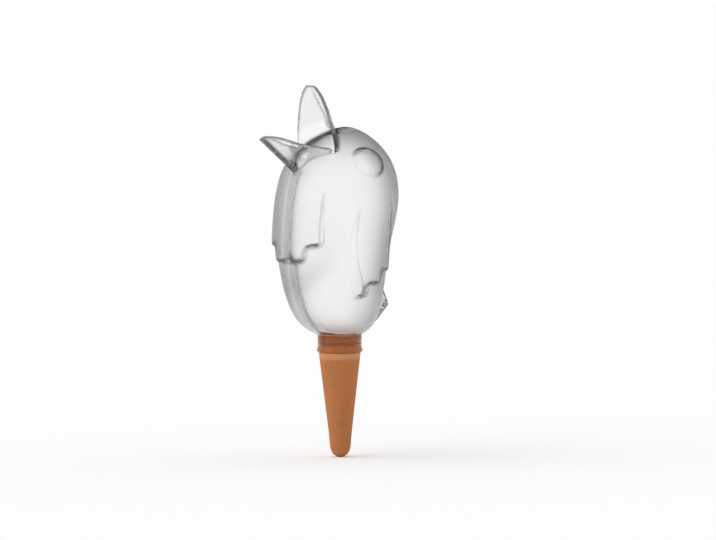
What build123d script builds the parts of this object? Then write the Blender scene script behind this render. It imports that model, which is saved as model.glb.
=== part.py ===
from build123d import *
import os

# Self-watering spike: a clear bird that holds water, on a clay cone that stands in the soil.
# Millimetres. The bird looks along -Y, its left side is +X, and the origin is where the neck
# stands on the shoulder of the cone, on the axis of the cone.

# Clay cone
cone_length = 53.5
cone_shoulder_radius = 10.7
cone_low_radius = 5.9
cone_low_height = 41.0
cone_rim_radius = 0.4
cone_wall = 3.4
cone_tip_wall = 7.0

# Spigot of the cone, and the seal ring in its groove
spigot_radius = 9.55
spigot_length = 8.4
spigot_edge = 0.6
seal_section_radius = 0.65
seal_height = 4.6
seal_squeeze_room = 0.03
groove_side_room = 0.15
groove_floor_room = 0.02

# Neck of the bird
spigot_clearance = 0.25
neck_wall = 1.45
neck_height = 9.0
lip_height = 1.6
lip_overhang = 0.5
lip_cone_height = 0.8
lip_setback = 0.4
seat_overhang = 0.2

# Walls of the bird, and the flange inside along which its halves are bonded
wall = 1.5
beak_wall = 1.8
seam_half_width = 1.8
seam_height = 1.1

# Egg-shaped body, drawn by its breast line and its back line on the mid-plane
body_top = 114.7
crown_setback = 5.0
breast_points = (
    (-21.9, 16.3),
    (-28.0, 28.6),
    (-32.8, 60.0),
    (-32.2, 78.0),
    (-27.6, 95.4),
    (-17.8, 105.0),
    (-6.0, 112.0),
)
back_points = (
    (18.0, 16.3),
    (21.2, 28.6),
    (25.8, 57.0),
    (30.4, 80.0),
    (25.7, 100.0),
    (14.6, 111.4),
)
hip_slope_front = 0.35
hip_slope_back = 0.45
station_shares = (0.0, 0.05, 0.11, 0.18, 0.3, 0.42, 0.54, 0.64, 0.73, 0.81, 0.88, 0.94, 0.975)

# Eyes
eye_radius = 9.7
eye_centre = (21.3, -0.9, 95.2)

# Plumage: each outline rises out of the body below its fade height, and ends in feather tips
plumage_sink = 4.0
bib_half_width = 19.0
bib_middle_half_width = 10.5
bib_top = 97.0
bib_fade_height = 86.0
bib_side_tip = 55.0
bib_middle_tip = 47.0
bib_rise = 3.3
bib_corner = 3.6
wing_front = -18.0
wing_feather_rears = (-4.0, 5.5, 12.0)
wing_feather_step = 6.5
wing_top = 92.0
wing_fade_height = 82.0
wing_tip = 29.0
wing_rise = 3.2
wing_corner = 2.6
wing_ridge_x = 28.8
wing_ridge_points = ((-10.0, 92.0), (-11.8, 76.7), (-13.2, 60.8), (-11.5, 46.3), (-6.9, 35.1), (0.5, 24.1))
wing_flank_way = (1.0, 0.95, 0.7)
tail_half_width = 8.5
tail_top = 44.0
tail_fade_height = 36.0
tail_tip = 12.5
tail_rise = 13.3
tail_corner = 5.0
tail_edge_y = 26.4
tail_edge_z = 24.0

# Beak, as points on the mid-plane and the corner of the mouth
corner_half_width = 15.9
corner_y = -13.3
corner_z = 103.6
upper_tip_y = -17.4
upper_tip_z = 137.0
culmen_root_y = -1.3
culmen_root_z = 113.5
lower_tip_y = -52.2
lower_tip_z = 110.0
keel_root_y = -31.0
keel_root_z = 93.3
gape_fullness = 1.6
gape_roundness = 0.5
jaw_foot_z = 101.0
keel_foot_length = 9.0
lower_edge_points = ((20.2, 7.8), (10.0, 12.9), (0.6, 19.0))
jaw_shares = (0.0, 0.2, 0.4, 0.58, 0.74, 0.86, 0.94, 0.985)

neck_bore_radius = spigot_radius + spigot_clearance
neck_radius = neck_bore_radius + neck_wall
rear_view = Plane(origin=(0, 0, 0), x_dir=(-1, 0, 0), z_dir=(0, 1, 0))
tail_underside = Plane(origin=(0, tail_edge_y, tail_edge_z), x_dir=(1, 0, 0), z_dir=(0, 1, -1))
far = 80.0

bib_feathers = (
    (-bib_half_width, bib_half_width, bib_side_tip),
    (-bib_middle_half_width, bib_middle_half_width, bib_middle_tip),
)
wing_feathers = tuple(
    (wing_front, rear, wing_tip + place * wing_feather_step)
    for place, rear in enumerate(wing_feather_rears)
)
tail_feathers = ((-tail_half_width, tail_half_width, tail_tip),)

with BuildLine(Plane.YZ) as breast_line:
    Spline(
        (-neck_radius, neck_height),
        *breast_points,
        (crown_setback, body_top),
        tangents=((-1, hip_slope_front), (1, 0)),
        tangent_scalars=(1, 1),
    )
with BuildLine(Plane.YZ) as back_line:
    Spline(
        (neck_radius, neck_height),
        *back_points,
        (crown_setback, body_top),
        tangents=((1, hip_slope_back), (-1, 0)),
        tangent_scalars=(1, 1),
    )
breast = breast_line.edges()[0]
back = back_line.edges()[0]


def inset(edge, side, share, depth_at):
    """A point of the breast or back line, moved into the body by the depth at its height."""
    point = edge @ share
    along = edge % share
    return point + Vector(0, along.Z, -along.Y) * (side * depth_at(point.Z))


def egg(depth_at):
    """The body as a stack of circles between the breast and back lines, with its skin moved in."""
    with BuildPart() as body:
        for share in station_shares:
            front = inset(breast, 1, share, depth_at)
            rear = inset(back, -1, share, depth_at)
            across = rear - front
            middle = (front + rear) / 2
            with BuildSketch(Plane(origin=middle, x_dir=across, z_dir=Vector(1, 0, 0).cross(across))):
                Circle(across.length / 2)
        crown = inset(breast, 1, 1, depth_at)
        loft(sections=[*body.pending_faces, Vertex(*crown)])
        split(bisect_by=Plane.YZ, keep=Keep.TOP)
    return body.part


def rising(fade_height, tip, rise, depth):
    """The depth of a plumage skin: sunk above its fade height, proud by its rise at its tip."""
    def depth_at(height):
        proud = rise * (fade_height - height) / (fade_height - tip)
        return depth - max(proud, -plumage_sink)
    return depth_at


def plumage(plane, feathers, top, fade_height, rise, corner, depth):
    """A patch of feathers, drawn on a plane by the edges and tip of each and cut out of a raised skin."""
    with BuildPart() as patch:
        with BuildSketch(plane) as outline:
            for low_edge, high_edge, tip in feathers:
                with Locations(((low_edge + high_edge) / 2, (top + tip) / 2)):
                    Rectangle(high_edge - low_edge, top - tip)
            fillet(outline.vertices().filter_by(lambda vertex: vertex.Y < fade_height), corner)
            if depth > 0:
                offset(amount=-depth, mode=Mode.REPLACE)
        extrude(amount=far)
        lowest_tip = min(tip for low_edge, high_edge, tip in feathers)
        add(egg(rising(fade_height, lowest_tip, rise, depth)), mode=Mode.INTERSECT)
    return patch.part


def wing(depth):
    """The left wing, with a slanting flank below the ridge that curves into its first feather tip."""
    way = Vector(*wing_flank_way)
    run = Vector(0, way.Y, way.Z)
    with BuildPart() as patch:
        add(plumage(Plane.YZ, wing_feathers, wing_top, wing_fade_height, wing_rise, wing_corner, depth))
        with BuildSketch(Plane.YZ.offset(wing_ridge_x - depth * way.length / run.length)):
            with BuildLine():
                ridge = Spline(*wing_ridge_points)
                Polyline(ridge @ 1, (far, (ridge @ 1).Y), (far, (ridge @ 0).Y), ridge @ 0)
            make_face()
        extrude(amount=far, dir=way, both=True, mode=Mode.INTERSECT)
    return patch.part


def tail(depth):
    """The left half of the tail, cut off below by an underside that slants into the body."""
    with BuildPart() as patch:
        add(plumage(rear_view, tail_feathers, tail_top, tail_fade_height, tail_rise, tail_corner, depth))
        split(bisect_by=tail_underside.offset(-depth), keep=Keep.BOTTOM)
    return patch.part


def trunk(depth):
    """The left half of the body, bib and tail, with its skin moved in."""
    with BuildPart() as half:
        add(egg(lambda height: depth))
        add(plumage(Plane.XZ, bib_feathers, bib_top, bib_fade_height, bib_rise, bib_corner, depth))
        add(tail(depth))
    return half.part


def bird(depth):
    """The closed left half of the bird without beak and neck, with its skin moved in."""
    with BuildPart() as half:
        add(trunk(depth))
        add(wing(depth))
        with Locations(eye_centre):
            Sphere(eye_radius - depth)
    return half.part


def cavity():
    """The hollow of the left half, shallower along the seam, where the flange stands."""
    with BuildPart() as hollow:
        add(bird(wall))
        split(bisect_by=Plane.YZ.offset(seam_half_width), keep=Keep.TOP)
        add(trunk(wall + seam_height))
    return hollow.part


def culmen_y(height):
    """The ridge of the upper beak, a straight line on the mid-plane from its root to its tip."""
    share = (height - culmen_root_z) / (upper_tip_z - culmen_root_z)
    return culmen_root_y + share * (upper_tip_y - culmen_root_y)


def gape_point(height):
    """The free edge of the upper beak: upright over the corner of the mouth, rounded at the tip."""
    share = max(0, (height - corner_z) / (upper_tip_z - corner_z))
    half_width = corner_half_width * (1 - share ** gape_fullness) ** gape_roundness
    return Vector(half_width, corner_y + share * (upper_tip_y - corner_y))


def upper_wall_line(height, depth):
    """The wall of the upper beak at a height, from the ridge to the free edge, moved inwards."""
    ridge = Vector(0, culmen_y(height))
    edge = gape_point(height)
    inwards = Vector(edge.Y - ridge.Y, -edge.X).normalized() * depth
    return ridge + inwards, edge + inwards


def upper_beak():
    """The left wall of the upper beak, as a stack of slanted strips."""
    with BuildPart() as jaw:
        for share in jaw_shares:
            height = jaw_foot_z + share * (upper_tip_z - jaw_foot_z)
            ridge, edge = upper_wall_line(height, 0)
            inner_ridge, inner_edge = upper_wall_line(height, beak_wall)
            with BuildSketch(Plane.XY.offset(height)):
                with BuildLine():
                    Polyline(ridge, edge, inner_edge, inner_ridge, close=True)
                make_face()
        loft()
        split(bisect_by=Plane.YZ, keep=Keep.TOP)
    return jaw.part


def upper_mouth():
    """The hollow between the walls of the upper beak, from inside the head up to its tip."""
    with BuildPart() as hollow:
        for share in jaw_shares:
            height = jaw_foot_z + share * (upper_tip_z - jaw_foot_z)
            ridge, edge = upper_wall_line(height, beak_wall)
            slope = (edge - ridge).normalized()
            top = ridge - slope * (ridge.X / slope.X)
            front = edge + slope * beak_wall
            with BuildSketch(Plane.XY.offset(height)):
                with BuildLine():
                    Polyline(top, front, (0, front.Y), close=True)
                make_face()
        loft()
    return hollow.part


def lower_beak_sheet(low, high):
    """A sheet of the lower beak's left side, between two distances inwards from its outside."""
    with BuildPart() as sheet:
        with BuildSketch(lower_wall.offset(low)):
            with BuildLine():
                Polyline(mouth_corner, keel_foot, keel_tip)
                Spline(keel_tip, *lower_edge_points, mouth_corner)
            make_face()
        extrude(amount=high - low)
        split(bisect_by=Plane.YZ, keep=Keep.TOP)
    return sheet.part


def neck():
    """The left half of the neck: its seat on the shoulder of the cone, and the lip above the soil."""
    with BuildPart() as collar:
        with BuildSketch(Plane.XZ):
            with BuildLine():
                Polyline(
                    (0, 0),
                    (cone_shoulder_radius + seat_overhang, 0),
                    (cone_shoulder_radius + seat_overhang, lip_setback),
                    (neck_radius + lip_overhang, lip_setback),
                    (neck_radius + lip_overhang, lip_height),
                    (neck_radius, lip_height + lip_cone_height),
                    (neck_radius, neck_height + wall),
                    (0, neck_height + wall),
                    close=True,
                )
            make_face()
        revolve(axis=Axis.Z)
        split(bisect_by=Plane.YZ, keep=Keep.TOP)
    return collar.part


keel_root = Vector(0, keel_root_y, keel_root_z)
lower_tip = Vector(0, lower_tip_y, lower_tip_z)
corner = Vector(corner_half_width, corner_y, corner_z)
keel = lower_tip - keel_root
lower_wall = Plane(origin=keel_root, x_dir=keel, z_dir=keel.cross(corner - keel_root))
keel_tip = (keel.length, 0)
keel_foot = (-keel_foot_length, 0)
mouth_corner = lower_wall.to_local_coords(corner)

with BuildPart() as left_shell:
    add(bird(0))
    add(neck())
    add(upper_beak())
    add(lower_beak_sheet(0, beak_wall))
    add(cavity(), mode=Mode.SUBTRACT)
    Cylinder(neck_bore_radius, 2 * (neck_height + 2 * wall), mode=Mode.SUBTRACT)
    add(upper_mouth(), mode=Mode.SUBTRACT)
    add(lower_beak_sheet(beak_wall, far), mode=Mode.SUBTRACT)
left_shell.part.label = "left_shell"

with BuildPart() as right_shell:
    add(left_shell.part)
    mirror(about=Plane.YZ, mode=Mode.REPLACE)
right_shell.part.label = "right_shell"

with BuildPart() as clay_cone:
    with BuildSketch(Plane.XZ):
        with BuildLine():
            Line((0, spigot_length), (spigot_radius, spigot_length))
            Line((spigot_radius, spigot_length), (spigot_radius, 0))
            Line((spigot_radius, 0), (cone_shoulder_radius, 0))
            Line((cone_shoulder_radius, 0), (cone_low_radius, -cone_low_height))
            Spline(
                (cone_low_radius, -cone_low_height),
                (0, -cone_length),
                tangents=((cone_low_radius - cone_shoulder_radius, -cone_low_height), (-1, 0)),
            )
            Line((0, -cone_length), (0, spigot_length))
        make_face()
    revolve(axis=Axis.Z)
    rings = clay_cone.edges().filter_by(GeomType.CIRCLE)
    shoulder_ring = rings.sort_by(SortBy.RADIUS)[-1]
    spigot_ring = rings.sort_by(Axis.Z)[-1]
    fillet(shoulder_ring, cone_rim_radius)
    chamfer(spigot_ring, spigot_edge)
    with BuildSketch(Plane.XZ):
        with BuildLine():
            Polyline(
                (0, spigot_length),
                (spigot_radius - cone_wall, spigot_length),
                (spigot_radius - cone_wall, 0),
                (cone_low_radius - cone_wall, -cone_low_height),
                (0, -cone_length + cone_tip_wall),
                close=True,
            )
        make_face()
    revolve(axis=Axis.Z, mode=Mode.SUBTRACT)
    groove_floor = neck_bore_radius - seal_squeeze_room - 2 * seal_section_radius - groove_floor_room
    groove_height = 2 * (seal_section_radius + groove_side_room)
    with BuildSketch(Plane.XY.offset(seal_height - groove_height / 2)):
        Circle(neck_bore_radius)
        Circle(groove_floor, mode=Mode.SUBTRACT)
    extrude(amount=groove_height, mode=Mode.SUBTRACT)
clay_cone.part.label = "clay_cone"

with BuildPart() as neck_seal:
    with BuildSketch(Plane.XZ):
        with Locations((neck_bore_radius - seal_squeeze_room - seal_section_radius, seal_height)):
            Circle(seal_section_radius)
    revolve(axis=Axis.Z)
neck_seal.part.label = "neck_seal"

os.makedirs("parts", exist_ok=True)
export_step(left_shell.part, "parts/left_shell.step")
export_step(right_shell.part, "parts/right_shell.step")
export_step(clay_cone.part, "parts/clay_cone.step")
export_step(neck_seal.part, "parts/neck_seal.step")
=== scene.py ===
import math

import bmesh
import bpy
from bpy.props import FloatProperty, FloatVectorProperty, PointerProperty
from mathutils import Matrix, Vector
from mathutils.bvhtree import BVHTree


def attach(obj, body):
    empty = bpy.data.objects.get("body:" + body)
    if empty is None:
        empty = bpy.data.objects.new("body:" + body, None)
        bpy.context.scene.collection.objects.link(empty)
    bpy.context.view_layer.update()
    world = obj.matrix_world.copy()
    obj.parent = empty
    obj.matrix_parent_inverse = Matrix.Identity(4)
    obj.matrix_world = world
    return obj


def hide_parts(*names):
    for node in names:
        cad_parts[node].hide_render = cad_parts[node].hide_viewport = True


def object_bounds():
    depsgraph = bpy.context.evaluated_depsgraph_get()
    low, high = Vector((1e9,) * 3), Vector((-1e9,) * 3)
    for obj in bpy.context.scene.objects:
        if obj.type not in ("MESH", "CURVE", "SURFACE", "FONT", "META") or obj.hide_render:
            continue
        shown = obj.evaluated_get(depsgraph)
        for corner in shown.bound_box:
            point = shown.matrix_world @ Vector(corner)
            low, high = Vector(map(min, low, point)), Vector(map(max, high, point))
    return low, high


bl_info = {
    "name": "Self-watering spike",
    "version": (1, 0, 0),
    "blender": (4, 5, 0),
    "location": "View3D > Sidebar > Spike",
    "description": "Finishes a clear bird-shaped reservoir on its clay cone and sets up the studio",
    "category": "Object",
}

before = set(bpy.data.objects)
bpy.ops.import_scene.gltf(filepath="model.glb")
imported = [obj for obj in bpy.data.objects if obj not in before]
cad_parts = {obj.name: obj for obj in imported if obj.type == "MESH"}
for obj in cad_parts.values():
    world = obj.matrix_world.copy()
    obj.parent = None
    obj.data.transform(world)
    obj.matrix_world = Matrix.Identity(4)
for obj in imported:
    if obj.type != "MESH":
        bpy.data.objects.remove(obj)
cad_low, cad_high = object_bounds()

# Nodes of the frame
SHELLS = ("left_shell", "right_shell")
CONE = "clay_cone"
SEAL = "neck_seal"

# Distance within which points of the two halves are one
WELD = 0.000004

# Rounding of the moulding: size of the grid, passes of smoothing outside and inside, and the faces kept
GRID_SIZE = 0.00045
EDGE_PASSES = 3
MOULDING_PASSES = 60
KEPT_FACES = 0.4

# Flange inside the seam: passes of smoothing, and half the width that they smooth
FLANGE_PASSES = 150
FLANGE_HALF_WIDTH = 0.008

# Search for the inner skin: start and length of a ray, and the least distance across the hollow
RAY_START = 0.0001
RAY_LENGTH = 0.09
HOLLOW_REACH = 0.012

# Least distance on the flange, which stands close to the wall, with half its width and its top
FLANGE_REACH = 0.0015
FLANGE_CORE = 0.003
FLANGE_TOP = 0.09

# Neck: its height and bore, and the foot, radius and widening of what counts as bore
NECK_TOP = 0.009
BORE_RADIUS = 0.00982
BORE_FOOT = 0.0006
BORE_REACH = 0.0102
BORE_FLARE = 0.5

# Spigot and seal: true radii, the radius that they are pressed to, how deep that goes and what it leaves
SPIGOT_RADIUS = 0.00955
SEAL_RADIUS = 0.00977
SEAT_RADIUS = 0.00995
PRESSED_DEPTH = 0.00075
PRESSED_GIVE = 0.1

# Heights between which the painted refraction of the clay on the bore comes and goes
CLAY_VIEW_FOOT = (0.0072, 0.0082)
CLAY_VIEW_TOP = (0.0105, 0.014)

# Middle and radius of the head, and the distance past it over which the beak starts
HEAD_MIDDLE = Vector((0, -0.001, 0.084))
HEAD_RADIUS = 0.0335
BEAK_FADE = 0.003

# Where painted shade darkens the crown, upwards and away from the beak, and the height at which the body
# takes its full painted shade
CROWN_RISE = (0.075, 0.105)
CROWN_FRONT = (-0.016, -0.002)
BODY_FOOT = 0.03

# Middle and radius of the left eye, and the share of the painted crease shade that the eye loses
EYE_MIDDLE = Vector((0.0213, -0.0009, 0.0952))
EYE_RADIUS = 0.0105
EYE_CREASE_LOSS = 0.8

# Half width of the thick wall along the seam, without and with its fade
SEAM_CORE = 0.0014
SEAM_EDGE = 0.0022

# Clay: sizes of clouds, grain and pits, and the noise at which dust and pits start and are full
CLOUD_SIZE = 0.014
GRAIN_SIZE = 0.0011
PIT_SIZE = 0.0006
DUST_NOISE = (0.45, 0.75)
PIT_NOISE = (0.62, 0.72)

# Clay: cover of dust, rim and pits, and relief
DUST_SHARE = 0.35
RIM_SHARE = 0.7
PIT_SHARE = 0.35
PIT_RELIEF = 0.6
CLAY_RELIEF = 0.00012

# Clay: roughness, what the grain adds to it, and gloss
CLAY_ROUGHNESS = 0.82
GRAIN_ROUGHNESS = 0.16
CLAY_GLOSS = 0.3

# Clay: heights between which the paler rim comes and goes, the spigot starts, brightened as painted light,
# and its top turns darker
RIM_FOOT = (-0.0045, -0.0022)
RIM_TOP = (-0.0003, 0.0006)
SPIGOT_FOOT = (0, 0.0003)
SPIGOT_DARKENING = (0.002, 0.008)

# Rubber: size of the grain, its darker shade, roughness, what the grain adds to it, and relief
RUBBER_GRAIN_SIZE = 0.0008
RUBBER_SHADE = 0.8
RUBBER_ROUGHNESS = 0.5
RUBBER_GRAIN_ROUGHNESS = 0.2
RUBBER_RELIEF = 0.00003

# Light: way to the key light, and the angles from that way at which it ends and is full
KEY_RIGHT = -0.75
KEY_FRONT = 0.25
KEY_UP = 0.6
KEY_END = math.radians(50)
KEY_FULL = math.radians(15)

# Light: how far towards the camera the surround starts and ends to change
FRONT_CHANGE = (-0.35, 0.75)

# Width of the camera's sensor in millimetres
SENSOR_WIDTH = 36.0

# Sockets of a mix node for colours: share, both colours and the result
MIX_SHARE, MIX_FIRST, MIX_SECOND, MIX_RESULT = 0, 6, 7, 2


class Signal:
    """A socket of a material that can stand in a Python expression."""

    def __init__(self, finish, socket):
        self.finish = finish
        self.socket = socket

    def maths(self, operation, first, second):
        """The sum, difference or product of two values."""
        return self.finish.node("ShaderNodeMath", {"operation": operation}, {0: first, 1: second})["Value"]

    def __add__(self, other):
        return self.maths("ADD", self, other)

    def __radd__(self, other):
        return self.maths("ADD", other, self)

    def __sub__(self, other):
        return self.maths("SUBTRACT", self, other)

    def __rsub__(self, other):
        return self.maths("SUBTRACT", other, self)

    def __mul__(self, other):
        return self.maths("MULTIPLY", self, other)

    def __rmul__(self, other):
        return self.maths("MULTIPLY", other, self)


class Outputs:
    """The outputs of one node, by name or place."""

    def __init__(self, finish, node):
        self.finish = finish
        self.node = node

    def __getitem__(self, name):
        return Signal(self.finish, self.node.outputs[name])


class Finish:
    """A node tree that is filled by Python expressions."""

    def __init__(self, tree):
        self.tree = tree
        self.tree.nodes.clear()

    def node(self, kind, settings=None, sockets=None):
        """Adds a node: its settings first, then the values and links of its sockets."""
        node = self.tree.nodes.new(kind)
        for name, value in (settings or {}).items():
            setattr(node, name, value)
        for name, value in (sockets or {}).items():
            if isinstance(value, Signal):
                self.tree.links.new(value.socket, node.inputs[name])
            else:
                node.inputs[name].default_value = value
        return Outputs(self, node)

    def place(self):
        """The place on the object, in metres."""
        return self.node("ShaderNodeTexCoord")["Object"]

    def attribute(self, name):
        """A number that the mesh carries."""
        return self.node("ShaderNodeAttribute", {"attribute_name": name})["Fac"]

    def noise(self, place, size, detail=2.0, roughness=0.5):
        """Soft noise with patches of a size in metres, around one half."""
        sockets = {"Vector": place, "Scale": 1 / size, "Detail": detail, "Roughness": roughness}
        return self.node("ShaderNodeTexNoise", None, sockets)["Fac"]

    def between(self, value, low, high):
        """Zero up to low, one from high, with a soft way between them."""
        sockets = {"Value": value, "From Min": low, "From Max": high}
        return self.node("ShaderNodeMapRange", {"interpolation_type": "SMOOTHSTEP"}, sockets)["Result"]

    def mixed(self, share, first, second):
        """A colour between two colours."""
        settings = {"data_type": "RGBA", "clamp_factor": True}
        sockets = {MIX_SHARE: share, MIX_FIRST: first, MIX_SECOND: second}
        return self.node("ShaderNodeMix", settings, sockets)[MIX_RESULT]

    def along(self, vector, way):
        """How far a vector goes along a fixed way."""
        sockets = {0: vector, 1: way}
        return self.node("ShaderNodeVectorMath", {"operation": "DOT_PRODUCT"}, sockets)["Value"]

    def bump(self, height, depth):
        """A normal from a height field, with the depth of one unit of height in metres."""
        sockets = {"Height": height, "Distance": depth, "Strength": 1.0}
        return self.node("ShaderNodeBump", None, sockets)["Normal"]

    def shader(self, sockets):
        """The shader of one plain material."""
        return self.node("ShaderNodeBsdfPrincipled", None, sockets)["BSDF"]

    def finished(self, shader):
        """Makes a shader the surface of the material."""
        self.node("ShaderNodeOutputMaterial", None, {"Surface": shader})

    def surface(self, sockets):
        """Makes one plain material the surface."""
        self.finished(self.shader(sockets))


def ramp(value, low, high):
    """Zero up to low, one from high."""
    return min(1.0, max(0.0, (value - low) / (high - low)))


def colour(value):
    """A colour for a socket, which has a fourth number."""
    return (*value, 1.0)


def new_finish(name):
    """A new material and its empty node tree."""
    material = bpy.data.materials.new(name)
    material.use_nodes = True
    return material, Finish(material.node_tree)


def clear_plastic(looks):
    """Clear moulded plastic, with painted shade mixed in where the wall turns away and where it is seen
    edge on, partly standing in for absorption in the wall.
    """
    material, finish = new_finish("clear_plastic")
    place = finish.place()
    flow = finish.noise(place, looks.flow_size, detail=1.0)
    inside = finish.attribute("inside")
    # Share of painted shade at each place of the body
    body = finish.attribute("body")
    crease = finish.between(finish.attribute("bend"), looks.crease_start, looks.crease_end)
    axes = finish.node("ShaderNodeSeparateXYZ", None, {"Vector": place})
    seam = 1 - finish.between(axes["X"] * axes["X"], SEAM_CORE ** 2, SEAM_EDGE ** 2)
    facing = finish.node("ShaderNodeLayerWeight")["Facing"]
    # Painted shade: a near-black share where the wall turns away, and more where it is seen edge on,
    # partly standing in for absorption in the wall
    turned = finish.between(facing, looks.limb_start, looks.limb_end) * looks.turned_shade_share
    edge_on_shade = finish.between(facing, looks.limb_end, 1.0) * looks.edge_on_shade_share
    eye = finish.attribute("eye")
    # Painted shade along the bends of the plumage, weaker on the eye
    edges = crease * looks.crease_shade_share * (1 - EYE_CREASE_LOSS * eye)
    lines = (edges + seam * looks.seam_share) * (1 - inside)
    # Painted shade on the sides of the eye's dome that turn away
    lens = finish.between(facing, looks.eye_start, looks.eye_end) * looks.eye_shade_share * eye
    clear = finish.shader({
        "Base Color": colour(looks.clear_colour),
        "Roughness": looks.clear_roughness + looks.inner_roughness * inside,
        "Normal": finish.bump(flow, looks.flow_depth),
        "Transmission Weight": 1.0,
        "IOR": looks.clear_ior,
        "Specular Tint": colour([looks.clear_gloss] * 3),
    })
    # Painted refraction: the clay seen through the wall, painted onto the top of the bore
    painted_clay_view = finish.attribute("painted_clay_view")
    beak = finish.attribute("beak")
    # A flat grey on the walls of the beak, and painted shade along its edges
    bloom = (looks.beak_wall_grey + looks.beak_edge_shade_share * crease) * beak
    # Colour of the painted shade, with the beak's flat grey and the painted refraction of the clay in the
    # bore
    dull = finish.mixed(beak, colour(looks.limb_shade_colour), colour(looks.beak_grey_and_shade_colour))
    shade_and_clay_view_colour = finish.mixed(painted_clay_view, dull, colour(looks.painted_clay_view_colour))
    shade_and_clay_view = finish.shader({"Base Color": shade_and_clay_view_colour, "Roughness": 1.0, "Specular IOR Level": 0.0})
    # Share of painted shade on limbs, creases, eye and crown, with the seam's grey, the beak's grey and
    # edge shade, and the painted refraction of the clay
    share = (turned + edge_on_shade + lines + lens) * body * (1 - beak) + bloom + looks.painted_clay_view_share * painted_clay_view
    finish.finished(finish.node("ShaderNodeMixShader", None, {0: share, 1: clear, 2: shade_and_clay_view})["Shader"])
    return material


def terracotta(looks):
    """Unglazed clay: warm, dusty and finely pitted, paler on the rim of its shoulder."""
    material, finish = new_finish("terracotta")
    place = finish.place()
    height = finish.node("ShaderNodeSeparateXYZ", None, {"Vector": place})["Z"]
    clouds = finish.noise(place, CLOUD_SIZE, detail=3.0)
    grain = finish.noise(place, GRAIN_SIZE, detail=4.0, roughness=0.65)
    pits = finish.between(finish.noise(place, PIT_SIZE, detail=1.0), *PIT_NOISE)
    # Paler band round the top of the shoulder
    rim = finish.between(height, *RIM_FOOT) * (1 - finish.between(height, *RIM_TOP))
    body = finish.mixed(clouds, colour(looks.clay_dark), colour(looks.clay_light))
    dusted = finish.mixed(finish.between(grain, *DUST_NOISE) * DUST_SHARE, body, colour(looks.clay_dust))
    # Darker towards the top of the spigot
    damp = finish.between(height, *SPIGOT_DARKENING)
    # Painted light: the clay in the neck is brighter, making up for the light that the clear wall holds
    # back
    spigot = finish.mixed(damp, colour(looks.clay_spigot_lit), colour(looks.clay_spigot_top))
    with_lit_spigot = finish.mixed(finish.between(height, *SPIGOT_FOOT), dusted, spigot)
    rimmed = finish.mixed(rim * RIM_SHARE, with_lit_spigot, colour(looks.clay_rim))
    pitted = finish.mixed(pits * PIT_SHARE, rimmed, colour(looks.clay_pit))
    finish.surface({
        "Base Color": pitted,
        "Roughness": CLAY_ROUGHNESS + GRAIN_ROUGHNESS * grain,
        "Normal": finish.bump(grain - PIT_RELIEF * pits, CLAY_RELIEF),
        "Specular IOR Level": CLAY_GLOSS,
    })
    return material


def seal_rubber(looks):
    """Soft rust-brown rubber with a dull skin."""
    material, finish = new_finish("seal_rubber")
    place = finish.place()
    grain = finish.noise(place, RUBBER_GRAIN_SIZE, detail=3.0)
    darker = [RUBBER_SHADE * value for value in looks.seal_colour]
    finish.surface({
        "Base Color": finish.mixed(grain, colour(looks.seal_colour), colour(darker)),
        "Roughness": RUBBER_ROUGHNESS + RUBBER_GRAIN_ROUGHNESS * grain,
        "Normal": finish.bump(grain, RUBBER_RELIEF),
    })
    return material


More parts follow.
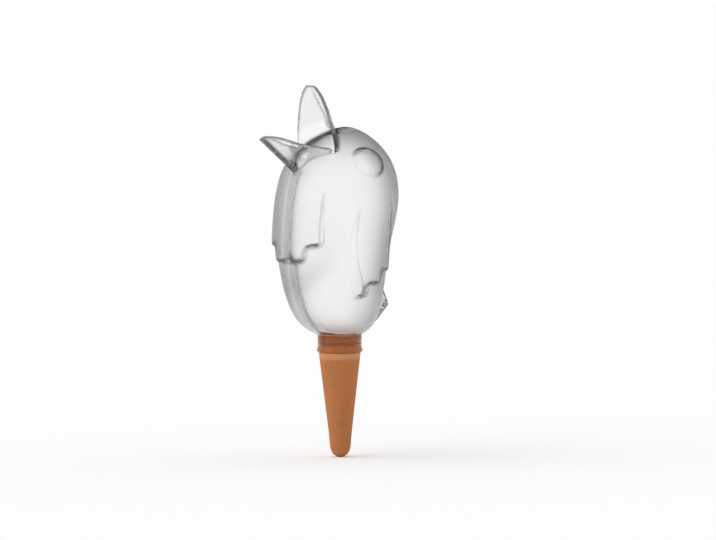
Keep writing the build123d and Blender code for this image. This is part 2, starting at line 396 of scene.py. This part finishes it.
class SpikeLooks(bpy.types.PropertyGroup):
    """Colours and finishes of the pieces."""

    clear_colour: FloatVectorProperty(
        name="Clear plastic", description="Colour of the wall seen square on",
        subtype="COLOR", size=3, min=0, max=1, default=(0.995, 0.992, 0.99))
    # Painted shade at the limbs, partly absorption in the wall: the near-black mixed in where the wall
    # turns away or is seen edge on
    limb_shade_colour: FloatVectorProperty(
        name="Edge of the wall", description="Colour of the wall seen edge on",
        subtype="COLOR", size=3, min=0, max=1, default=(0.033, 0.031, 0.028))
    # Shares of painted shade where the wall turns away, and on top of that where it is seen edge on
    turned_shade_share: FloatProperty(
        name="Turned grey", description="Greyness of a wall that is turned away",
        subtype="FACTOR", min=0, max=1, default=0.16)
    edge_on_shade_share: FloatProperty(
        name="Edge grey", description="Greyness added to a wall that is seen edge on",
        subtype="FACTOR", min=0, max=1, default=0.3)
    # Grey of the beak: a flat grey on its walls and painted shade along its edges
    beak_grey_and_shade_colour: FloatVectorProperty(
        name="Bloom of the beak", description="Colour of the dull skin of the beak",
        subtype="COLOR", size=3, min=0, max=1, default=(0.4, 0.4, 0.4))
    beak_wall_grey: FloatProperty(
        name="Beak bloom", description="How dull the walls of the beak are",
        subtype="FACTOR", min=0, max=1, default=0.08)
    # Painted shade along the edges of the beak
    beak_edge_shade_share: FloatProperty(
        name="Beak edge bloom", description="How dull the edges of the beak are, on top of its walls",
        subtype="FACTOR", min=0, max=1, default=0.4)
    # Painted shade on the sides of the eye that turn away
    eye_shade_share: FloatProperty(
        name="Grey of the eye", description="Greyness added to the sides of the eye that are turned away",
        subtype="FACTOR", min=0, max=1, default=0.24)
    eye_start: FloatProperty(
        name="Eye starts", description="How far the skin of the eye turns away before it greys",
        subtype="FACTOR", min=0, max=1, default=0.2)
    eye_end: FloatProperty(
        name="Eye ends", description="How far the skin of the eye turns away until it is fully grey",
        subtype="FACTOR", min=0, max=1, default=0.7)
    # Painted shade on the neck, as a share of the body's
    neck_shade_share: FloatProperty(
        name="Grey of the neck", description="Share of the body's greyness that the neck has",
        subtype="FACTOR", min=0, max=1, default=0.35)
    # Painted shade added on the crown, on top of the body's
    crown_shade_share: FloatProperty(
        name="Head", description="How much greyer than the body the thick crown of the head is",
        subtype="FACTOR", min=0, max=1, default=0.6)
    # Painted shade along the edges of the plumage
    crease_shade_share: FloatProperty(
        name="Crease grey", description="Greyness of the edges of the plumage",
        subtype="FACTOR", min=0, max=1, default=0.22)
    crease_start: FloatProperty(
        name="Crease starts", description="Curvature above which an edge greys, per metre",
        min=0, default=80)
    crease_end: FloatProperty(
        name="Crease ends", description="Curvature at which an edge is fully grey, per metre",
        min=0, default=320)
    seam_share: FloatProperty(
        name="Seam grey", description="Greyness of the thick wall along the seam",
        subtype="FACTOR", min=0, max=1, default=0.25)
    # Painted refraction of the clay: the clay seen through the bore, painted onto it
    painted_clay_view_colour: FloatVectorProperty(
        name="Tide mark", description="Colour of the clay that settles at the top of the bore",
        subtype="COLOR", size=3, min=0, max=1, default=(0.64, 0.19, 0.05))
    painted_clay_view_share: FloatProperty(
        name="Tide mark cover", description="How much of the tide mark the clay covers",
        subtype="FACTOR", min=0, max=1, default=0.85)
    clear_gloss: FloatProperty(
        name="Gloss", description="Strength of what the clear plastic reflects",
        subtype="FACTOR", min=0, max=1, default=0.35)
    limb_start: FloatProperty(
        name="Edge starts", description="How far a wall turns away before it greys",
        subtype="FACTOR", min=0, max=1, default=0.18)
    limb_end: FloatProperty(
        name="Edge ends", description="How far a wall turns away until it is fully grey",
        subtype="FACTOR", min=0, max=1, default=0.5)
    clear_ior: FloatProperty(
        name="Refraction", description="Index of refraction of the clear plastic",
        min=1, max=2.5, default=1.52)
    clear_roughness: FloatProperty(
        name="Polish", description="Roughness of the clear plastic",
        subtype="FACTOR", min=0, max=1, default=0.03)
    inner_roughness: FloatProperty(
        name="Inner polish", description="Roughness that the inside of the wall adds",
        subtype="FACTOR", min=0, max=1, default=0.42)
    flow_size: FloatProperty(
        name="Flow size", description="Size of the slow waves left by the mould",
        subtype="DISTANCE", unit="LENGTH", default=0.022)
    flow_depth: FloatProperty(
        name="Flow depth", description="Depth of the slow waves left by the mould",
        subtype="DISTANCE", unit="LENGTH", default=0.0002, precision=5)
    clay_light: FloatVectorProperty(
        name="Light clay", description="Lighter clouds of the clay",
        subtype="COLOR", size=3, min=0, max=1, default=(0.53, 0.197, 0.067))
    clay_dark: FloatVectorProperty(
        name="Dark clay", description="Darker clouds of the clay",
        subtype="COLOR", size=3, min=0, max=1, default=(0.42, 0.15, 0.05))
    clay_dust: FloatVectorProperty(
        name="Clay dust", description="Pale dust in the grain of the clay",
        subtype="COLOR", size=3, min=0, max=1, default=(0.6, 0.265, 0.115))
    # Paler band round the top of the shoulder
    clay_rim: FloatVectorProperty(
        name="Clay rim", description="Worn rim of the shoulder",
        subtype="COLOR", size=3, min=0, max=1, default=(0.68, 0.32, 0.15))
    # Painted light: brighter clay in the neck, making up for the light that the clear wall holds back
    clay_spigot_lit: FloatVectorProperty(
        name="Clay of the spigot", description="Clay that is rubbed clean in the neck",
        subtype="COLOR", size=3, min=0, max=1, default=(0.8, 0.265, 0.075))
    # Darker clay towards the top of the spigot
    clay_spigot_top: FloatVectorProperty(
        name="Damp clay", description="Clay at the top of the spigot, which the water keeps damp",
        subtype="COLOR", size=3, min=0, max=1, default=(0.67, 0.195, 0.05))
    clay_pit: FloatVectorProperty(
        name="Clay pits", description="Floor of the pits in the clay",
        subtype="COLOR", size=3, min=0, max=1, default=(0.2, 0.07, 0.028))
    seal_colour: FloatVectorProperty(
        name="Seal", description="Colour of the seal ring",
        subtype="COLOR", size=3, min=0, max=1, default=(0.5, 0.18, 0.06))


class SpikeStudio(bpy.types.PropertyGroup):
    """The floor, the light and the camera."""

    azimuth: FloatProperty(
        name="Azimuth", description="Way round the object that the camera stands",
        subtype="ANGLE", unit="ROTATION", default=math.radians(50))
    elevation: FloatProperty(
        name="Elevation", description="Height of the camera above the horizon",
        subtype="ANGLE", unit="ROTATION", default=math.radians(3.5))
    roll: FloatProperty(
        name="Roll", description="Turn of the camera about its own axis",
        subtype="ANGLE", unit="ROTATION", default=math.radians(-0.38))
    distance: FloatProperty(
        name="Distance", description="Distance from the camera to the middle of the picture",
        subtype="DISTANCE", unit="LENGTH", default=4.0)
    picture_span: FloatProperty(
        name="Picture span", description="Width of what the picture shows at the object",
        subtype="DISTANCE", unit="LENGTH", default=0.3647)
    aim_right: FloatProperty(
        name="Aim to the right", description="Middle of the picture, to the right of the cone's axis",
        subtype="DISTANCE", unit="LENGTH", default=0.0096)
    aim_height: FloatProperty(
        name="Aim height", description="Middle of the picture, above the cone's shoulder",
        subtype="DISTANCE", unit="LENGTH", default=0.0418)
    floor_size: FloatProperty(
        name="Floor size", description="Side of the floor",
        subtype="DISTANCE", unit="LENGTH", default=60.0)
    floor_colour: FloatVectorProperty(
        name="Floor", description="Colour of the floor",
        subtype="COLOR", size=3, min=0, max=1, default=(0.985, 0.985, 0.985))
    back_strength: FloatProperty(
        name="Light behind", description="Strength of the surround behind the object",
        min=0, default=1.0)
    front_strength: FloatProperty(
        name="Light in front", description="Strength of the surround behind the camera",
        min=0, default=0.5)
    key_strength: FloatProperty(
        name="Key light", description="Strength that the soft light on the left adds",
        min=0, default=0.9)


def seated(context, node, name, outer_radius):
    """A copy of a piece that stands in the neck, with its outside there pressed to the bore."""
    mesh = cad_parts[node].data.copy()
    for vertex in mesh.vertices:
        radius = vertex.co.xy.length
        if vertex.co.z > -WELD and outer_radius - PRESSED_DEPTH < radius < BORE_RADIUS:
            pressed = SEAT_RADIUS - PRESSED_GIVE * (outer_radius - radius)
            vertex.co.x *= pressed / radius
            vertex.co.y *= pressed / radius
    piece = bpy.data.objects.new(name, mesh)
    context.scene.collection.objects.link(piece)
    return piece


class SPIKE_OT_shell(bpy.types.Operator):
    """Finishes the two clear halves of the bird"""

    bl_idname = "spike.shell"
    bl_label = "Clear shell"

    def execute(self, context):
        halves = self.bond_halves(context)
        bird = self.soften(context, halves)
        bird.data.materials.clear()
        bird.data.materials.append(clear_plastic(context.scene.spike_looks))
        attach(bird, "reservoir")
        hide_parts(*SHELLS)
        return {"FINISHED"}

    def bond_halves(self, context):
        """One closed skin from both halves, without the two faces that are bonded to each other."""
        skin = bmesh.new()
        for name in SHELLS:
            skin.from_mesh(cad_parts[name].data)
        bmesh.ops.remove_doubles(skin, verts=skin.verts, dist=WELD)
        bonded = [face for face in skin.faces if all(abs(corner.co.x) < WELD for corner in face.verts)]
        bmesh.ops.delete(skin, geom=bonded, context="FACES_ONLY")
        loose = [edge for edge in skin.edges if not edge.link_faces]
        bmesh.ops.delete(skin, geom=loose, context="EDGES")
        bmesh.ops.remove_doubles(skin, verts=skin.verts, dist=WELD)
        mesh = bpy.data.meshes.new("bonded_halves")
        skin.to_mesh(mesh)
        skin.free()
        halves = bpy.data.objects.new("bonded_halves", mesh)
        context.scene.collection.objects.link(halves)
        return halves

    def soften(self, context, halves):
        """The skin with the rounded edges of a moulding, softer inside than outside."""
        grid = halves.modifiers.new("grid", "REMESH")
        grid.mode = "VOXEL"
        grid.voxel_size = GRID_SIZE
        bird = bpy.data.objects.new("bird_shell", self.evaluated(context, halves))
        bpy.data.objects.remove(halves)
        context.scene.collection.objects.link(bird)
        inner = bird.vertex_groups.new(name="inner")
        seam = bird.vertex_groups.new(name="seam")
        for point in self.looking_inside(bird.data):
            inner.add([point], 1.0, "REPLACE")
            if abs(bird.data.vertices[point].co.x) < FLANGE_HALF_WIDTH:
                seam.add([point], 1.0, "REPLACE")
        edges = bird.modifiers.new("edges", "SMOOTH")
        edges.iterations = EDGE_PASSES
        moulding = bird.modifiers.new("moulding", "SMOOTH")
        moulding.iterations = MOULDING_PASSES
        moulding.vertex_group = inner.name
        flange = bird.modifiers.new("flange", "SMOOTH")
        flange.iterations = FLANGE_PASSES
        flange.vertex_group = seam.name
        fewer = bird.modifiers.new("fewer", "DECIMATE")
        fewer.ratio = KEPT_FACES
        bird.data = self.evaluated(context, bird)
        bird.modifiers.clear()
        bird.vertex_groups.clear()
        for face in bird.data.polygons:
            face.use_smooth = True
        self.clear_bore(bird.data)
        self.mark_places(bird.data, context.scene.spike_looks)
        self.mark_bends(bird.data)
        return bird

    @staticmethod
    def clear_bore(mesh):
        """Moves the skin of the bore back to its true radius, clear of the seal ring."""
        for vertex in mesh.vertices:
            radius = vertex.co.xy.length
            if radius < BORE_RADIUS and 0 < vertex.co.z < NECK_TOP:
                vertex.co.x *= BORE_RADIUS / radius
                vertex.co.y *= BORE_RADIUS / radius

    @staticmethod
    def looking_inside(mesh):
        """The points that look at another wall across the hollow of the body, or along the flange."""
        tree = BVHTree.FromPolygons([v.co for v in mesh.vertices], [f.vertices for f in mesh.polygons])
        points = []
        for vertex in mesh.vertices:
            on_flange = abs(vertex.co.x) < FLANGE_CORE and NECK_TOP < vertex.co.z < FLANGE_TOP
            reach = tree.ray_cast(vertex.co + RAY_START * vertex.normal, vertex.normal, RAY_LENGTH)[3]
            if reach and reach > (FLANGE_REACH if on_flange else HOLLOW_REACH):
                points.append(vertex.index)
        return points

    def mark_places(self, mesh, looks):
        """Marks the inside, the share of painted shade over the body, the beak, the eyes and the painted
        refraction of the clay in the bore.
        """
        seen = set(self.looking_inside(mesh))
        marks = {name: [] for name in ("inside", "body", "beak", "eye", "painted_clay_view")}
        for vertex in mesh.vertices:
            place = vertex.co
            mirrored = Vector((abs(place.x), place.y, place.z))
            off_head = ramp((place - HEAD_MIDDLE).length, HEAD_RADIUS, HEAD_RADIUS + BEAK_FADE)
            bore = BORE_REACH + BORE_FLARE * max(0.0, place.z - NECK_TOP)
            in_bore = place.xy.length < bore and place.z > BORE_FOOT
            marks["inside"].append(float(vertex.index in seen and place.z > NECK_TOP))
            # Share of painted shade over the body: less on the neck, more on the crown
            shade_above_neck = looks.neck_shade_share + (1 - looks.neck_shade_share) * ramp(place.z, NECK_TOP, BODY_FOOT)
            crown = ramp(place.z, *CROWN_RISE) * ramp(place.y, *CROWN_FRONT)
            marks["body"].append(shade_above_neck + looks.crown_shade_share * crown)
            marks["beak"].append(off_head if place.z > HEAD_MIDDLE.z else 0.0)
            marks["eye"].append(float((mirrored - EYE_MIDDLE).length < EYE_RADIUS))
            # Painted refraction of the clay, in a band at the top of the bore
            painted_clay_view_band = ramp(place.z, *CLAY_VIEW_FOOT) * (1 - ramp(place.z, *CLAY_VIEW_TOP))
            marks["painted_clay_view"].append(painted_clay_view_band if in_bore else 0.0)
        for name, values in marks.items():
            self.mark(mesh, name, values)

    def mark_bends(self, mesh):
        """Marks how sharply the skin bends at each point, per metre."""
        skin = bmesh.new()
        skin.from_mesh(mesh)
        bends = []
        for vertex in skin.verts:
            turns = [(edge.other_vert(vertex).normal - vertex.normal).length / edge.calc_length()
                     for edge in vertex.link_edges]
            bends.append(sum(turns) / len(turns))
        evened = []
        for vertex in skin.verts:
            around = [bends[edge.other_vert(vertex).index] for edge in vertex.link_edges]
            evened.append((bends[vertex.index] + sum(around)) / (1 + len(around)))
        skin.free()
        self.mark(mesh, "bend", evened)

    @staticmethod
    def mark(mesh, name, values):
        """Gives each point of the mesh a number."""
        mesh.attributes.new(name, "FLOAT", "POINT").data.foreach_set("value", values)

    @staticmethod
    def evaluated(context, piece):
        """The mesh of a piece with its modifiers applied."""
        context.view_layer.update()
        shown = piece.evaluated_get(context.evaluated_depsgraph_get())
        return bpy.data.meshes.new_from_object(shown)


class SPIKE_OT_cone(bpy.types.Operator):
    """Finishes the clay cone"""

    bl_idname = "spike.cone"
    bl_label = "Clay cone"

    def execute(self, context):
        cone = seated(context, CONE, "seated_cone", SPIGOT_RADIUS)
        cone.data.materials[0] = terracotta(context.scene.spike_looks)
        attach(cone, "spike")
        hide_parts(CONE)
        return {"FINISHED"}


class SPIKE_OT_seal(bpy.types.Operator):
    """Finishes the seal ring in the neck"""

    bl_idname = "spike.seal"
    bl_label = "Neck seal"

    def execute(self, context):
        seal = seated(context, SEAL, "seated_seal", SEAL_RADIUS)
        seal.data.materials[0] = seal_rubber(context.scene.spike_looks)
        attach(seal, "spike")
        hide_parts(SEAL)
        return {"FINISHED"}


class SPIKE_OT_stage(bpy.types.Operator):
    """Sets the pale floor, the soft light and the camera"""

    bl_idname = "spike.stage"
    bl_label = "Studio"

    def execute(self, context):
        studio = context.scene.spike_studio
        self.lay_floor(context, studio)
        self.light_surround(context, studio)
        self.set_camera(context, studio)
        context.scene.view_settings.view_transform = "Standard"
        return {"FINISHED"}

    def lay_floor(self, context, studio):
        """Lays the pale floor under the tip of the cone."""
        half = studio.floor_size / 2
        mesh = bpy.data.meshes.new("floor")
        corners = [(-half, -half, 0), (half, -half, 0), (half, half, 0), (-half, half, 0)]
        mesh.from_pydata(corners, [], [(0, 1, 2, 3)])
        floor = bpy.data.objects.new("floor", mesh)
        floor.location.z = cad_low.z
        material, finish = new_finish("pale_floor")
        finish.surface({
            "Base Color": colour(studio.floor_colour), "Roughness": 1.0, "Specular IOR Level": 0.0})
        mesh.materials.append(material)
        context.scene.collection.objects.link(floor)

    def light_surround(self, context, studio):
        """Lights the surround, brighter behind the object and towards the key light."""
        world = bpy.data.worlds.new("surround")
        world.use_nodes = True
        finish = Finish(world.node_tree)
        way = finish.node("ShaderNodeTexCoord")["Generated"]
        right, front = self.level_axes(studio)
        key = (right * KEY_RIGHT + front * KEY_FRONT + Vector((0, 0, KEY_UP))).normalized()
        to_front = finish.between(finish.along(way, front), *FRONT_CHANGE)
        to_key = finish.between(finish.along(way, key), math.cos(KEY_END), math.cos(KEY_FULL))
        strength = studio.back_strength + (studio.front_strength - studio.back_strength) * to_front
        background = finish.node("ShaderNodeBackground", None, {
            "Color": (1, 1, 1, 1), "Strength": strength + studio.key_strength * to_key})["Background"]
        finish.node("ShaderNodeOutputWorld", None, {"Surface": background})
        context.scene.world = world

    @staticmethod
    def level_axes(studio):
        """The level ways to the right of the picture and towards the camera."""
        right = Vector((math.cos(studio.azimuth), math.sin(studio.azimuth), 0))
        front = Vector((math.sin(studio.azimuth), -math.cos(studio.azimuth), 0))
        return right, front

    def set_camera(self, context, studio):
        """Sets the camera at the angle of the picture."""
        data = bpy.data.cameras.new("camera")
        data.sensor_width = SENSOR_WIDTH
        data.lens = SENSOR_WIDTH * studio.distance / studio.picture_span
        data.clip_end = 2 * studio.floor_size
        camera = bpy.data.objects.new("camera", data)
        right, front = self.level_axes(studio)
        back = front * math.cos(studio.elevation) + Vector((0, 0, math.sin(studio.elevation)))
        aim = right * studio.aim_right + Vector((0, 0, studio.aim_height))
        turn = (-back).to_track_quat("-Z", "Y").to_matrix().to_4x4()
        roll = Matrix.Rotation(studio.roll, 4, "Z")
        camera.matrix_world = Matrix.Translation(aim + back * studio.distance) @ turn @ roll
        context.scene.collection.objects.link(camera)
        context.scene.camera = camera


class SPIKE_PT_panel(bpy.types.Panel):
    """Lists the pieces of the spike"""

    bl_idname = "SPIKE_PT_panel"
    bl_label = "Self-watering spike"
    bl_space_type = "VIEW_3D"
    bl_region_type = "UI"
    bl_category = "Spike"

    def draw(self, context):
        for operator in OPERATORS:
            self.layout.operator(operator.bl_idname)
        for group in (context.scene.spike_looks, context.scene.spike_studio):
            box = self.layout.box()
            for name in group.__annotations__:
                box.prop(group, name)


OPERATORS = (SPIKE_OT_shell, SPIKE_OT_cone, SPIKE_OT_seal, SPIKE_OT_stage)
CLASSES = (SpikeLooks, SpikeStudio, *OPERATORS, SPIKE_PT_panel)


def register():
    for each in CLASSES:
        bpy.utils.register_class(each)
    bpy.types.Scene.spike_looks = PointerProperty(type=SpikeLooks)
    bpy.types.Scene.spike_studio = PointerProperty(type=SpikeStudio)


def unregister():
    del bpy.types.Scene.spike_studio
    del bpy.types.Scene.spike_looks
    for each in reversed(CLASSES):
        bpy.utils.unregister_class(each)


def main():
    register()
    bpy.ops.spike.shell()
    bpy.ops.spike.cone()
    bpy.ops.spike.seal()
    bpy.ops.spike.stage()


if __name__ == "__main__":
    main()
